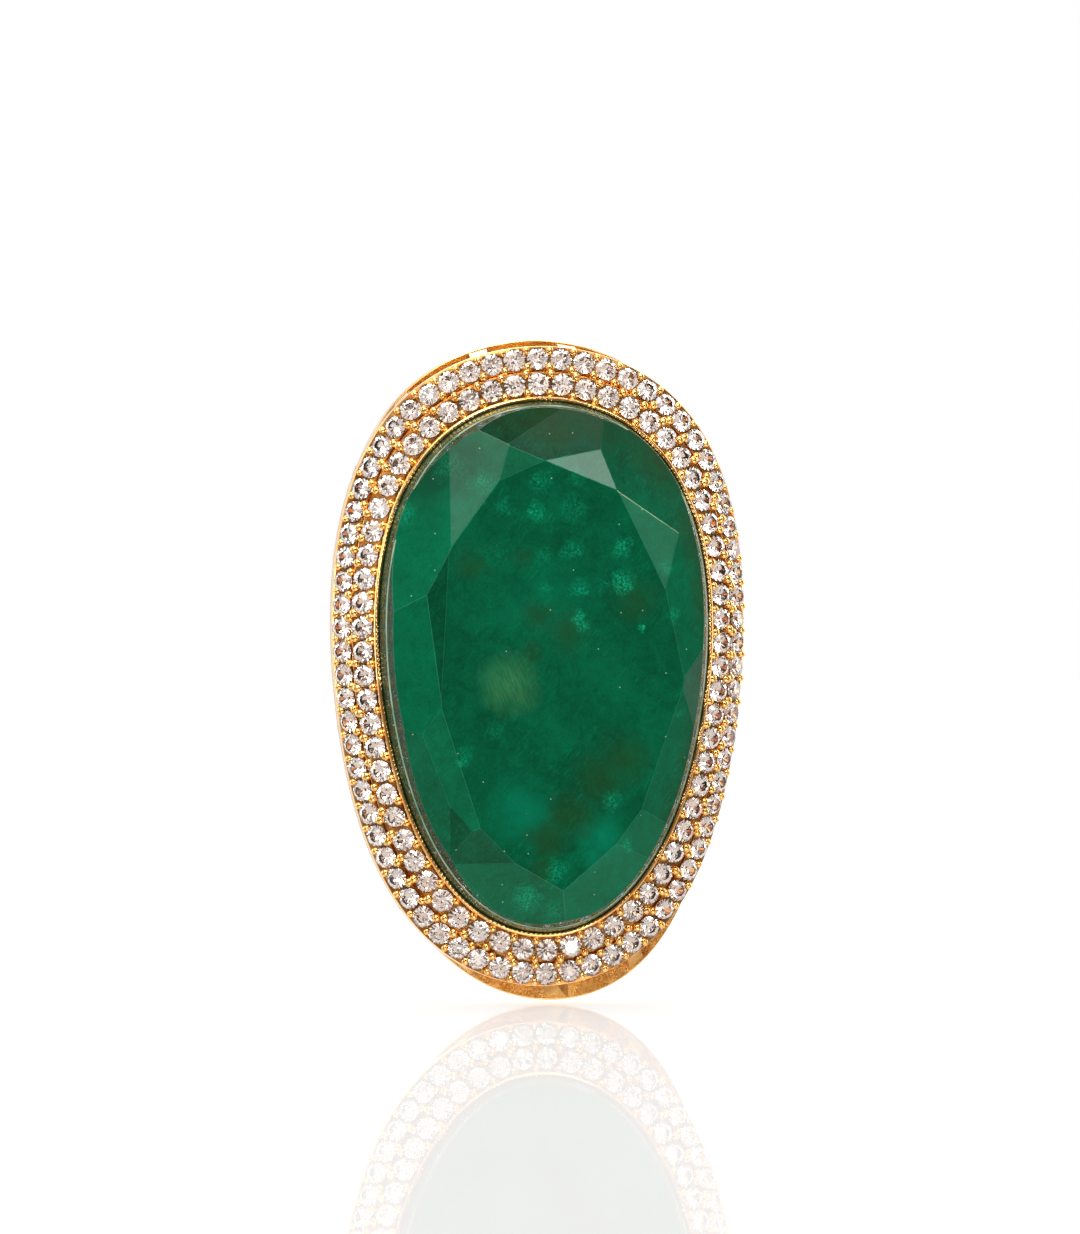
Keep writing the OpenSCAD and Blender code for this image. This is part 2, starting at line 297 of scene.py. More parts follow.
class Tree:
    """A short way to write a node tree."""

    def __init__(self, tree):
        self.tree = tree

    def add(self, kind, settings=None, **sockets):
        node = self.tree.nodes.new("ShaderNode" + kind)
        for key, value in (settings or {}).items():
            setattr(node, key, value)
        for key, value in sockets.items():
            self.set(node, key.replace("_", " "), value)
        return node

    def set(self, node, key, value):
        socket = node.inputs[int(key) if key.isdigit() else key]
        if isinstance(value, bpy.types.NodeSocket):
            self.tree.links.new(value, socket)
        else:
            socket.default_value = value

    def place(self, scale=1.0):
        """Object coordinates in millimetres over scale."""
        coordinates = self.add("TexCoord").outputs["Object"]
        mapping = self.add("Mapping", Vector=coordinates)
        mapping.inputs["Scale"].default_value = [1 / (MM * scale)] * 3
        return mapping.outputs["Vector"]

    def noise(self, size, detail=2.0, roughness=0.5, distortion=0.0):
        """Noise from 0 to 1 whose lumps are about size millimetres."""
        return self.add("TexNoise", Vector=self.place(), Scale=1 / size, Detail=detail,
                        Roughness=roughness, Distortion=distortion).outputs["Fac"]

    def fit(self, value, low, high, to_low=0.0, to_high=1.0):
        return self.add("MapRange", **{"0": value, "1": low, "2": high, "3": to_low,
                                       "4": to_high}).outputs["Result"]

    def mix(self, share, first, second):
        node = self.add("Mix", {"data_type": "RGBA"})
        self.set(node, "0", share)
        self.set(node, "6", first)
        self.set(node, "7", second)
        return node.outputs[2]

    def sum(self, first, second):
        return self.add("Math", {"operation": "ADD"}, **{"0": first, "1": second}).outputs[0]

    def product(self, first, second):
        return self.add("Math", {"operation": "MULTIPLY"}, **{"0": first, "1": second}).outputs[0]

    def blend(self, share, first, second):
        """A mix of two shader nodes."""
        node = self.add("MixShader", **{"0": share})
        self.tree.links.new(first.outputs[0], node.inputs[1])
        self.tree.links.new(second.outputs[0], node.inputs[2])
        return node

    def parts(self, vector):
        return self.add("SeparateXYZ", **{"0": vector}).outputs

    def warped(self, layers):
        """The place in millimetres, pushed about by noise of each (size, distance)."""
        place = self.place()
        for size, distance in layers:
            push = self.add("TexNoise", Vector=self.place(), Scale=1 / size, Detail=3)
            centred = self.add("VectorMath", {"operation": "SUBTRACT"},
                               **{"0": push.outputs["Color"], "1": (0.5, 0.5, 0.5)})
            place = self.add("VectorMath", {"operation": "MULTIPLY_ADD"},
                             **{"0": centred.outputs["Vector"], "1": [2 * distance] * 3,
                                "2": place}).outputs["Vector"]
        return place

    def flat(self, place):
        """A place without its height, in the plane of the face."""
        return self.add("VectorMath", {"operation": "MULTIPLY"},
                        **{"0": place, "1": (1, 0, 1)}).outputs["Vector"]

    def spots(self, place, rows):
        """The strongest of several soft round spots, each (x, z, size, strength)."""
        flat = self.flat(place)
        total = 0.0
        for x, z, size, strength in rows:
            far = self.add("VectorMath", {"operation": "DISTANCE"},
                           **{"0": flat, "1": (x, 0, z)}).outputs["Value"]
            share = self.fit(far, size, 0.0, 0.0, strength)
            total = self.add("Math", {"operation": "MAXIMUM"}, **{"0": total, "1": share})
            total = total.outputs[0]
        return total

    def streaks(self, width, length, turn):
        """Noise drawn out into short strokes across the face, turned by degrees."""
        turned = self.add("Mapping", {"vector_type": "TEXTURE"}, Vector=self.place())
        turned.inputs["Rotation"].default_value = (0, math.radians(turn), 0)
        turned.inputs["Scale"].default_value = (width, length, length)
        return self.add("TexNoise", Vector=turned.outputs["Vector"], Scale=1.0,
                        Detail=3).outputs["Fac"]

    def lean(self, x, z):
        """How far a place lies towards a direction in the plane of the face."""
        return self.add("VectorMath", {"operation": "DOT_PRODUCT"},
                        **{"0": self.place(), "1": (x, 0, z)}).outputs["Value"]

    def rim_share(self):
        """0 at the centre stone's middle, 1 at its outline."""
        x, _, z = self.parts(self.place())
        u = self.product(z, 1 / STONE.half_length)
        bend = self.sum(self.product(u, STONE.fullness), STONE.taper)
        width = self.sum(self.product(u, bend), STONE.half_width)
        side = self.add("Math", {"operation": "DIVIDE"}, **{"0": x, "1": width}).outputs[0]
        both = self.add("CombineXYZ", **{"0": side, "1": u}).outputs[0]
        return self.add("VectorMath", {"operation": "LENGTH"}, **{"0": both}).outputs["Value"]

    def bump(self, height, distance, strength=1.0, normal=None):
        node = self.add("Bump", Height=height, Distance=distance * MM, Strength=strength)
        if normal is not None:
            self.set(node, "Normal", normal)
        return node.outputs["Normal"]


class Surface(Tree):
    """The node tree of a new material, around its one shader."""

    def __init__(self, name):
        self.material = bpy.data.materials.new(name)
        self.material.use_nodes = True
        super().__init__(self.material.node_tree)
        self.shader = self.tree.nodes["Principled BSDF"]

    def shade(self, **sockets):
        for key, value in sockets.items():
            self.set(self.shader, key.replace("_", " "), value)


GOLD_LIGHT = (1.0, 0.66, 0.27, 1)
GOLD_DEEP = (0.98, 0.56, 0.17, 1)

# Marks inside the green stone, each [x, z, size, strength]: small clusters of flecks, painted
# brown-green shadows, and painted soft glows of light
FLECKS = [
    (-0.8, 10.5, 0.8, 0.40), (-0.4, 10.6, 0.6, 0.25), (1.3, 10.7, 0.7, 0.22),
    (-2.8, 9.0, 0.7, 0.30), (-0.9, 8.7, 0.6, 0.60), (-0.7, 8.4, 0.5, 0.40), (1.2, 8.9, 1.0, 0.28),
    (1.2, 6.6, 0.7, 0.45), (0.8, 6.4, 0.5, 0.30), (-0.5, 6.2, 0.7, 0.22), (4.0, 6.8, 0.65, 0.65),
    (3.7, 6.4, 0.5, 0.40), (4.0, 4.7, 0.85, 0.70), (1.5, 4.4, 0.7, 0.45), (-0.5, 4.4, 0.6, 0.22),
    (1.5, 2.8, 0.6, 0.80), (1.7, 2.4, 0.5, 0.50), (-3.3, 6.4, 0.9, 0.18), (2.8, 4.6, 0.5, 0.25),
    (5.1, 2.3, 0.25, 0.90), (3.4, -7.5, 0.8, 0.40), (0.2, -11.4, 0.9, 0.45), (0.0, -11.9, 0.6, 0.4),
    (-1.3, -13.0, 1.0, 0.60), (0.2, -13.8, 1.0, 0.30), (4.3, -10.1, 0.5, 0.45),
    (-5.0, -5.3, 0.5, 0.40), (-5.0, -4.7, 0.4, 0.3), (-3.3, -3.6, 0.8, 0.16),
    (-8.1, 8.6, 0.8, 0.35), (-5.7, 11.3, 1.2, 0.30), (7.0, 2.9, 0.5, 0.45), (-4.0, 10.3, 0.9, 0.35),
    (7.2, -2.6, 0.5, 0.35), (6.4, 5.6, 0.5, 0.3)]
SHADOWS = [
    (-0.8, 2.8, 1.2, 0.5), (0.9, 2.1, 1.5, 0.5), (-1.3, 0.8, 0.9, 0.4), (-4.6, 5.8, 1.2, 0.5),
    (-1.6, 6.2, 0.8, 0.4), (4.7, 3.8, 1.7, 0.5), (4.0, -5.2, 2.0, 0.6), (2.6, -6.4, 1.8, 0.6),
    (0.9, -8.4, 1.7, 0.65), (-0.3, -9.8, 1.4, 0.6), (-0.6, -11.2, 1.0, 0.5), (0.2, 13.6, 1.8, 0.7)]
GLOWS = [(-2.5, -0.9, 2.0, 0.6), (-1.9, -1.6, 1.5, 0.4)]
TEAL_GLOWS = [
    (-1.6, -8.0, 2.4, 0.4), (2.8, -9.6, 1.8, 0.5), (2.2, -10.6, 1.2, 0.4), (-5.2, 9.6, 1.4, 0.4),
    (-0.5, 3.6, 3.0, 0.15)]
# Painted shade: the stone's corners darkened, each [x, z, size, strength]
SHADED_CORNERS = [(-7.0, 11.4, 3.6, 1.0), (3.6, 13.6, 2.4, 0.7)]


def gold(name, roughness, texture, light=GOLD_LIGHT, deep=GOLD_DEEP):
    """Gold with a colour that drifts slightly, smears in its polish and a fine skin texture."""
    n = Surface(name)
    drift = n.fit(n.noise(1.2, 4, 0.6), 0.35, 0.65)
    smear = n.fit(n.noise(0.35, 4, 0.65), 0.3, 0.75, roughness * 0.7, roughness * 1.5)
    skin = n.bump(n.noise(0.09, 3, 0.6), texture)
    dents = n.bump(n.noise(0.7, 2), texture * 2.5, 0.6, skin)
    n.shade(Base_Color=n.mix(drift, light, deep), Metallic=1.0, Roughness=smear,
            Normal=dents)
    return n.material


def halo_stone_material():
    n = Surface("clear_stone")
    # Painted reflection: a warm pinkish tint, varied by noise, for the gold reflected inside the
    # stones
    gold_reflection_tint = n.fit(n.noise(1.6, 1), 0.3, 0.7)
    n.shade(Base_Color=n.mix(gold_reflection_tint, (1, 0.93, 0.87, 1), (1.0, 0.81, 0.70, 1)),
            Roughness=0.0, IOR=2.15, Transmission_Weight=1.0)
    return n.material


def green_stone_material():
    """A cloudy green stone: each facet has its own painted light level, for the light refracted
    through it, over clouds, flecks and specks.
    """
    n = Surface("green_stone")
    # Painted light and shade: each facet's light level, from dark to bright green, for the light
    # refracted through it
    facet_light = n.add("Attribute", {"attribute_name": "painted_facet_light"}).outputs["Fac"]
    clouds = n.fit(n.noise(4.5, 4, 0.55, 0.5), 0.3, 0.7, -0.12, 0.12)
    mottle = n.fit(n.noise(0.9, 5, 0.7, 0.8), 0.3, 0.7, -0.11, 0.11)
    grain = n.fit(n.noise(0.14, 3, 0.7), 0.3, 0.7, -0.10, 0.10)
    fibres = n.fit(n.streaks(0.09, 0.6, 35), 0.56, 0.72, 0.0, 0.28)
    patchy = n.fit(n.noise(2.6, 2), 0.45, 0.6)
    total = n.sum(n.sum(facet_light, clouds), n.sum(mottle, grain))
    total = n.sum(total, n.product(fibres, patchy))
    wear_and_highlight = n.add("Attribute", {"attribute_name": "edge_wear_and_highlight"}).outputs["Fac"]
    # Painted highlight: edge faces are painted a little lighter, for edges that catch the light
    total = n.sum(total, n.product(wear_and_highlight, 0.15))
    body = n.mix(total, (0.0, 0.022, 0.008, 1), (0.0, 0.148, 0.064, 1))
    soft = n.warped(((1.4, 0.9), (0.35, 0.25)))
    body = n.mix(n.spots(soft, TEAL_GLOWS), body, (0.0, 0.19, 0.10, 1))
    body = n.mix(n.spots(soft, SHADOWS), body, (0.010, 0.034, 0.006, 1))
    # Painted shade in the stone's corners
    body = n.mix(n.spots(soft, SHADED_CORNERS), body, (0.003, 0.030, 0.013, 1))
    # Painted light: soft yellow-green glows, drawn out into streaks
    glow_streaks = n.fit(n.streaks(0.1, 0.8, -20), 0.35, 0.65, 0.45, 1.0)
    body = n.mix(n.product(n.spots(soft, GLOWS), glow_streaks), body, (0.050, 0.190, 0.070, 1))
    ragged = n.warped(((0.7, 0.6), (0.25, 0.3), (0.1, 0.12)))
    crumbs = n.fit(n.noise(0.12, 3, 0.75), 0.46, 0.6, 0.1, 1.0)
    flecks = n.product(n.spots(ragged, FLECKS), crumbs)
    body = n.mix(flecks, body, (0.004, 0.42, 0.21, 1))
    rim = n.fit(n.rim_share(), 0.84, 1.0)
    shaded = n.product(rim, n.fit(n.noise(2.2, 3), 0.35, 0.6, 0.25, 0.9))
    body = n.mix(n.product(shaded, n.fit(n.lean(0.9, 0.45), -2, 5)), body,
                 (0.016, 0.036, 0.012, 1))
    x, _, z = n.parts(n.place())
    plane = n.add("CombineXYZ", **{"0": x, "1": z}).outputs[0]
    cell = n.add("TexVoronoi", {"voronoi_dimensions": "2D"}, Vector=plane, Scale=1 / 1.3)
    speck = n.fit(cell.outputs["Distance"], 0.033, 0.012)
    chosen = n.fit(n.parts(cell.outputs["Color"])[0], 0.86, 0.88)
    body = n.mix(n.product(n.product(speck, chosen), 0.6), body, (0.50, 0.68, 0.52, 1))
    # Painted highlight: faces with a facet light past 1.2 turn pale, broken up by noise
    edge = n.fit(n.noise(2.0, 3), 0.35, 0.6, 0.25, 0.8)
    body = n.mix(n.product(n.fit(facet_light, 1.2, 1.8), edge), body, (0.36, 0.42, 0.28, 1))
    haze = n.fit(n.noise(0.5, 5, 0.7), 0.4, 0.7, 0.03, 0.09)
    side_wall = n.fit(facet_light, 0.0, 0.04, 0.22, 0.0)
    # Edge faces are also rougher, as worn
    edge_wear_and_highlight = n.product(wear_and_highlight, 0.25)
    n.shade(Base_Color=body, Roughness=n.sum(haze, n.sum(side_wall, edge_wear_and_highlight)), IOR=1.58,
            Specular_IOR_Level=0.17)
    return n.material


MIRROR_SHARE = 0.26
MIRROR_FADE = (240, 700)


def floor_material():
    """A pale floor with a faint reflection that fades away from the ring."""
    n = Surface("pale_floor")
    n.shade(Base_Color=(0.9, 0.9, 0.9, 1), Roughness=0.6)
    mirror = n.add("BsdfGlossy", Color=(1, 1, 1, 1), Roughness=0.01)
    distance = n.add("VectorMath", {"operation": "LENGTH"}, **{"0": n.place()}).outputs["Value"]
    final = n.blend(n.fit(distance, *MIRROR_FADE, MIRROR_SHARE, 0.0), n.shader, mirror)
    n.tree.links.new(final.outputs[0], n.tree.nodes["Material Output"].inputs["Surface"])
    return n.material


polished_gold = gold("polished_gold", 0.13, 0.003)
bead_gold = gold("bead_gold", 0.12, 0.002, (1.0, 0.63, 0.23, 1), (1.0, 0.54, 0.15, 1))
# Painted shade: the pavé strips' tops are a dark deep-orange gold, for the shade between the stones
pave_gold_painted_shade = gold("pave_gold_painted_shade", 0.30, 0.010, (0.58, 0.27, 0.06, 1), (0.30, 0.11, 0.02, 1))
# Painted light: a pale gold for the posts that look brightly lit
pale_gold_painted_light = gold("pale_gold_painted_light", 0.32, 0.012, (1.0, 0.84, 0.62, 1), (1.0, 0.76, 0.48, 1))
cast_gold = gold("cast_gold", 0.3, 0.012)
satin_gold = gold("satin_gold", 0.26, 0.05, (0.88, 0.50, 0.15, 1), (0.46, 0.19, 0.03, 1))
# Painted shade: a dark gold for the rail face in shade under the halo; it is also rougher
shaded_rough_gold = gold("shaded_rough_gold", 0.38, 0.05, (0.62, 0.24, 0.04, 1), (0.36, 0.12, 0.015, 1))
clear_stone = halo_stone_material()
green_stone = green_stone_material()

# ---------------------------------------------------------------- centre stone

# [direction, slope, distance of its line from the axis at table height, painted facet light]
TABLE_FACETS = [
    (68, 20, 10.6, 0.6), (26, 22, 7.7, 0.6), (12, 30, 7.2, 0.48), (-6, 40, 7.5, 0.35),
    (-19, 30, 7.4, 0.45), (-36, 30, 8.8, 0.58), (-49, 32, 9.9, 0.68), (-120, 34, 10.6, 0.55),
    (-135, 26, 9.3, 0.28), (-162, 24, 6.7, 0.5), (177, 14, 6.2, 0.22), (144, 24, 8.6, 0.55),
    (114, 11, 10.8, 0.50)]
LOWER_FACETS = [
    (81, 30, 11.4, 0.15), (95, 40, 12.3, 0.05), (41, 37, 9.3, 0.38), (-177, 30, 6.4, 0.5),
    (-161, 34, 7.2, 0.42), (160, 38, 7.7, 0.58), (-157, 29, 7.4, 0.2), (-123, 40, 10.9, 0.6)]
# Painted facet light levels of the table and of the stone's side wall
TABLE_FACET_LIGHT = 0.33
STONE_SIDES = 256
WALL_FACET_LIGHT = 0.0
EDGE_WEAR = 0.025
# A facet light past 1 paints a pale highlight on edge faces: the chamfer at the crown edge and the
# edge faces along this line
GLINT_TONE = 2.0
GLINT_LINE = ((3.63, 10.0), (6.92, 7.89))


def cut(bm, point, normal):
    """Cuts a convex solid by a plane, keeps what is behind it and closes the cut."""
    everything = bm.verts[:] + bm.edges[:] + bm.faces[:]
    done = bmesh.ops.bisect_plane(bm, geom=everything, dist=1e-8, plane_co=point, plane_no=normal,
                                  clear_outer=True)
    edges = [e for e in done["geom_cut"] if isinstance(e, bmesh.types.BMEdge)]
    if len(edges) < 3:
        return None
    return bmesh.ops.contextual_create(bm, geom=edges)["faces"][0]


def center_stone():
    # [height, scale, inset of the outline]
    levels = [(CULET_HEIGHT, 0.35, 0), (PAVILION_HEIGHT, 0.78, 0), (GIRDLE_HEIGHT, 1, 0),
              (LIP_HEIGHT, 1, 0), (CROWN_EDGE_HEIGHT - CROWN_EDGE_BEVEL, 1, 0.2),
              (CROWN_EDGE_HEIGHT, 1, 0.28), (TABLE_HEIGHT, 1, 0.9)]
    bm = lofted([[raised(scale * offset_spot(STONE, 360 * i / STONE_SIDES, -inset), height)
                  for i in range(STONE_SIDES)] for height, scale, inset in levels])
    bmesh.ops.recalc_face_normals(bm, faces=bm.faces)
    facet_light = bm.faces.layers.float.new("painted_facet_light")
    wear_and_highlight = bm.faces.layers.float.new("edge_wear_and_highlight")
    for face in bm.faces:
        height = -face.calc_center_median().y / MM
        face[facet_light] = TABLE_FACET_LIGHT if face.normal.y < -0.99 else WALL_FACET_LIGHT
        # Painted highlight on the chamfer at the crown edge
        if abs(height - CROWN_EDGE_HEIGHT + CROWN_EDGE_BEVEL / 2) < 0.01:
            face[facet_light] = GLINT_TONE
    for direction, tilt, distance, shade in TABLE_FACETS + LOWER_FACETS:
        plan = Vector((cosd(direction), sind(direction)))
        point = raised(plan * distance, TABLE_HEIGHT)
        normal = Vector((plan.x * sind(tilt), -cosd(tilt), plan.y * sind(tilt)))
        face = cut(bm, point, normal)
        if face:
            face[facet_light] = shade
    sharp = [e for e in bm.edges
             if len(e.link_faces) == 2 and e.calc_face_angle() > math.radians(6)]
    done = bmesh.ops.bevel(bm, geom=sharp, offset=EDGE_WEAR * MM, segments=1, affect="EDGES")
    # Edge faces along GLINT_LINE get a painted highlight
    start, end = Vector(GLINT_LINE[0]), Vector(GLINT_LINE[1])
    for face in done["faces"]:
        # Every edge face is marked for its painted lighter line and its wear
        face[wear_and_highlight] = 1.0
        centre = face.calc_center_median() / MM
        place = Vector((centre.x, centre.z))
        near, share = geometry.intersect_point_line(place, start, end)
        if -0.1 < share < 1.1 and (place - near).length < 0.15:
            face[facet_light] = GLINT_TONE
    add_piece("faceted_green_stone", bm, green_stone, ["center_stone"], 3)


# ---------------------------------------------------------------- bezel and halo metal

MILGRAIN_PITCH = 0.27
MILGRAIN_STEPS = 6
MILGRAIN_DEPTH = 0.028


def bezel_collar():
    """The bezel's wall, with a plain outer lip and a worn milgrain edge against the stone."""
    circumference = sum((spot(STONE, t + 1) - spot(STONE, t)).length for t in range(360))
    bumps = round(circumference / MILGRAIN_PITCH)
    angles = even_angles(lambda t: raised(spot(STONE, t), 0), bumps * MILGRAIN_STEPS)
    sections = []
    for i, t in enumerate(angles):
        wave = math.cos(2 * math.pi * i / MILGRAIN_STEPS)
        wear = noise.noise(raised(spot(STONE, t), 0) / MM * 0.9)
        grain = MILGRAIN_DEPTH * (wave * max(0.1, 0.7 + 1.2 * wear) + 0.6 * wear)
        top = LIP_HEIGHT - 0.04
        profile = [(0.0, FOOT_HEIGHT), (0.0, top - 0.12), (0.01 - grain / 2, top - 0.04 + grain),
                   (0.05, top + 0.02 + grain), (0.10, top + 0.03 + grain / 2), (0.16, top + 0.03),
                   (0.22, top + 0.01), (0.27, top - 0.05), (0.29, top - 0.12),
                   (BEZEL_WALL, top - 0.25), (BEZEL_WALL, FOOT_HEIGHT)]
        sections.append([raised(offset_spot(STONE, t, out), height) for out, height in profile])
    add_piece("milgrain_bezel", swept_ring(sections), polished_gold, ["bezel_collar"], 50)


def seat_cutters(row):
    """One drill shape per stone, which cuts its seat and the hole behind it."""
    radius = HALO_STONE_DIAMETER / 2 - SEAT_GAP
    hole = 0.55 * radius
    pavilion = 0.43 * HALO_STONE_DIAMETER
    profile = [(hole, -2), (hole, -pavilion * (1 - hole / radius) - 0.02),
               (radius + 0.02, -0.02), (radius + 0.02, 1)]
    bm = bmesh.new()
    for t in row_angles(row):
        along, across, out = row_axes(row, t)
        centre = row_point(row, t, 0.5)
        rings = [[bm.verts.new(centre + (along * cosd(a) + across * sind(a)) * r * MM
                               + out * h * MM) for a in range(0, 360, 15)] for r, h in profile]
        for ring, after in zip(rings, rings[1:]):
            for j in range(len(ring)):
                k = (j + 1) % len(ring)
                bm.faces.new((ring[j], after[j], after[k], ring[k]))
        bm.faces.new(rings[0])
        bm.faces.new(rings[-1])
    bmesh.ops.recalc_face_normals(bm, faces=bm.faces)
    mesh = bpy.data.meshes.new("cutters")
    bm.to_mesh(mesh)
    bm.free()
    cutters = bpy.data.objects.new("cutters", mesh)
    bpy.context.scene.collection.objects.link(cutters)
    return cutters


GROOVE_DEPTH = 0.35


def halo_strip(row, name, node):
    """A strip with rounded edges and a groove towards the other strip, drilled for its stones."""
    sections = []
    count = 4 * STONE_COUNTS[row]
    for i in range(count):
        t = 360 * i / count
        gap = 0.02 + 0.08 * max(0.0, -sind(t)) ** 4
        corners = [(0, 0), (1 - gap, 0), (1 - gap, -GROOVE_DEPTH), (1, -GROOVE_DEPTH),
                   (1, -STRIP_THICKNESS), (0, -STRIP_THICKNESS)]
        if row == 1:
            corners = [(1 - across, drop) for across, drop in reversed(corners)]
        profile = rounded(corners, [0.07 if drop == 0 else 0.01 for _, drop in corners], 2)
        sections.append([row_point(row, t, across, -drop) for across, drop in profile])
    bm = swept_ring(sections)
    # The strips' tops get the gold painted dark as shade between the stones; their sides are
    # polished gold
    strip = add_piece(name, bm, pave_gold_painted_shade, [node], 35)
    strip.data.materials.append(polished_gold)
    for face in strip.data.polygons:
        if abs(face.normal.y) < 0.6:
            face.material_index = 1
    cutters = seat_cutters(row)
    drill = strip.modifiers.new("drill", "BOOLEAN")
    drill.object = cutters
    drill.solver = "EXACT"
    depsgraph = bpy.context.evaluated_depsgraph_get()
    drilled = bpy.data.meshes.new_from_object(strip.evaluated_get(depsgraph))
    strip.modifiers.clear()
    strip.data = drilled
    drilled.shade_smooth()
    drilled.set_sharp_from_angle(angle=math.radians(35))
    bpy.data.objects.remove(cutters)


# ---------------------------------------------------------------- halo stones and beads


def brilliant():
    """Vertices of a round brilliant of unit diameter, table up, girdle at the origin."""
    points = []
    for k in range(8):
        points.append((0.28, 45 * k, 0.17))
        points.append((0.405, 45 * k + 22.5, 0.095))
        points.append((0.12, 45 * k + 22.5, -0.31))
    for k in range(16):
        points.append((0.5, 22.5 * k, 0.03))
        points.append((0.5, 22.5 * k, 0.0))
    corners = [Vector((r * cosd(a), r * sind(a), z)) for r, a, z in points]
    return corners + [Vector((0, 0, -0.43))]


def halo_stones(row, name, node, rng):
    bm = bmesh.new()
    shape = brilliant()
    for t in row_angles(row):
        along, across, out = row_axes(row, t)
        axes = Matrix((along, across, out)).transposed()
        tilt = Matrix.Rotation(math.radians(rng.uniform(-5, 5)), 3, "X")
        tilt = tilt @ Matrix.Rotation(math.radians(rng.uniform(-5, 5)), 3, "Y")
        turn = Matrix.Rotation(math.radians(rng.uniform(0, 45)), 3, "Z")
        size = HALO_STONE_DIAMETER * rng.uniform(0.975, 1.0) * MM
        place = axes @ tilt @ turn
        centre = row_point(row, t, 0.5)
        corners = [bm.verts.new(centre + place @ corner * size) for corner in shape]
        bmesh.ops.convex_hull(bm, input=corners)
    bmesh.ops.dissolve_limit(bm, angle_limit=math.radians(0.5), verts=bm.verts, edges=bm.edges)
    add_piece(name, bm, clear_stone, [node])


def beads(row, name, node, rng):
    """Beads raised between the stones, smaller along the halo's outer edge."""
    bm = bmesh.new()
    for t in row_angles(row, 0.5):
        for edge in (BEAD_EDGE, 1 - BEAD_EDGE):
            outermost = row == 1 and edge > 0.5
            radius = BEAD_RADIUS * (0.8 if outermost else 1.0) * rng.uniform(0.9, 1.06) * MM
            edge += rng.uniform(-0.02, 0.02) - (0.05 if outermost else 0.0)
            along, across, out = row_axes(row, t)
            axes = Matrix((along, across * rng.uniform(0.95, 1.25), out)).transposed()
            centre = row_point(row, t, edge, -BEAD_LIFT)
            place = Matrix.Translation(centre) @ (axes * radius).to_4x4()
            bmesh.ops.create_icosphere(bm, subdivisions=3, radius=1, matrix=place)
    add_piece(name, bm, bead_gold, [node], 180)


# ---------------------------------------------------------------- gallery and band


def rail_middle(t):
    return RAIL_HEIGHT - RAIL_SIDE_DROP * sideways(t)


def top_rail_point(t, across, down):
    return row_point(1, t, across, STRIP_THICKNESS + down)


# Above this place along Z the gallery's posts are painted pale as light and its rail face dark as
# shade; below it the metal is plain satin gold, smoother than above it
PAINTED_LIGHT_AND_SHADE_END = -12.0


def gallery_rails():
    angles = even_angles(lambda t: raised(spot(RAIL, t), 0), 240)
    inner, outer = TOP_RAIL_SPAN
    corners = [(inner, 0), (outer, 0), (outer, TOP_RAIL_HEIGHT), (inner, TOP_RAIL_HEIGHT)]
    profile = rounded(corners, 0.07, 2)
    top = [[top_rail_point(t, across, down) for across, down in profile] for t in angles]
    add_piece("top_rail", swept_ring(top), cast_gold, ["gallery_top_rail"], 40)
    half = RAIL_THICKNESS / 2
    profile = rounded([(-RAIL_WIDTH, -half), (-RAIL_WIDTH, half), (0, half), (0, -half)], 0.1, 4)
    base = [[raised(offset_spot(RAIL, t, out), rail_middle(t) + up) for out, up in profile]
            for t in angles]
    rail = add_piece("base_rail", swept_ring(base), polished_gold, ["gallery_base_rail"],
                     40)
    rail.data.materials.append(shaded_rough_gold)
    rail.data.materials.append(satin_gold)
    # The rail's face towards the head is painted dark as shade under the halo in the upper part of
    # the head; lower down it is satin gold
    for face in rail.data.polygons:
        if face.normal.y < -0.95:
            face.material_index = 1 if face.center.z / MM > PAINTED_LIGHT_AND_SHADE_END else 2


POST_STEPS = 6
POST_FLARE = 0.3


def gallery_posts():
    """Uprights between the rails, with corners that flare into them."""
    angles = even_angles(lambda t: raised(spot(RAIL, t), 0), POST_COUNT, 0.5)
    for number, t in enumerate(angles, 1):
        direction = outward(RAIL, t)
        half = Vector((direction.y, 0, -direction.x)) * POST_WIDTH / 2 * MM
        foot = rail_middle(t) + RAIL_THICKNESS / 2 - SOLDER
        low = [raised(offset_spot(RAIL, t, out), foot) for out in (0.15 - RAIL_WIDTH, -0.12)]
        high = [top_rail_point(t, across, TOP_RAIL_HEIGHT - SOLDER) for across in TOP_RAIL_SPAN]
        levels = []
        for step in range(POST_STEPS + 1):
            share = step / POST_STEPS
            flare = 1 + POST_FLARE * (2 * share - 1) ** 6
            inner, outer = low[0].lerp(high[0], share), low[1].lerp(high[1], share)
            levels.append([inner - half * flare, inner + half * flare,
                           outer + half * flare, outer - half * flare])
        # Posts in the upper part of the head are painted pale as if brightly lit; lower ones are
        # satin gold
        metal = pale_gold_painted_light if spot(RAIL, t).y > PAINTED_LIGHT_AND_SHADE_END else satin_gold
        add_piece(f"post_{number}", lofted(levels), metal, [f"gallery_post_{number}"],
                  30)


def bridges():
    for name, node in (("bridge_above", "upper_bridge"), ("bridge_below", "lower_bridge")):
        low, high = reach(node)
        corners = [(low.y, low.z), (high.y, low.z), (high.y, high.z), (low.y, high.z)]
        profile = rounded(corners, 0.2, 4)
        levels = [[Vector((x, y, z)) * MM for y, z in profile]
                  for x in (low.x, low.x / 2, 0, high.x / 2, high.x)]
        add_piece(name, lofted(levels), cast_gold, [node], 40)


